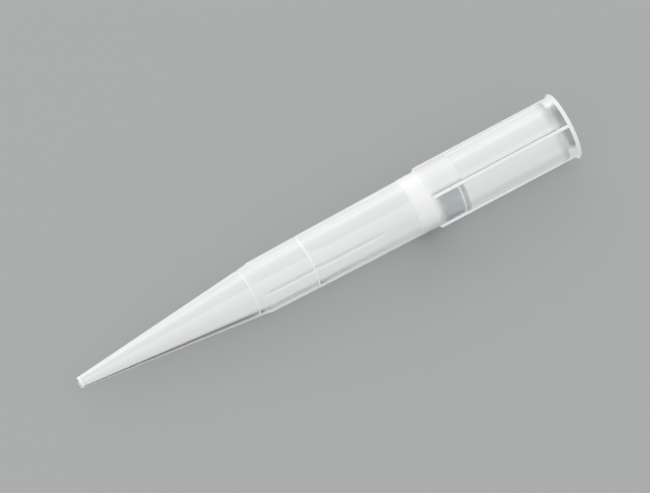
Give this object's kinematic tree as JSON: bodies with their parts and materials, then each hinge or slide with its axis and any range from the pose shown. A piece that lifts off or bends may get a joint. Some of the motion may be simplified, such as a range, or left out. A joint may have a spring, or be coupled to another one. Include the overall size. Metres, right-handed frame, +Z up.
{
  "type": "pipette tip",
  "caption": "Filtered pipette tip lying on its side: a translucent cone and barrel, a ribbed collar with a flared lip, and a white porous plug seated inside.",
  "frame": {"origin": "on the ground, under the middle of the lying tip's box", "axes": "+X along the tip from the mouth to the orifice, the axis rising 1.3 degrees towards the mouth, whose lip is the wider end; +Z up"},
  "size_m": [0.0712, 0.0092, 0.0091],
  "materials": {
    "tip_plastic": "natural translucent polypropylene, frosted",
    "filter_plastic": "white sintered porous polyethylene"
  },
  "bodies": {
    "root": {"tip_body": "tip_plastic", "filter": "filter_plastic"}
  },
  "joints": []
}
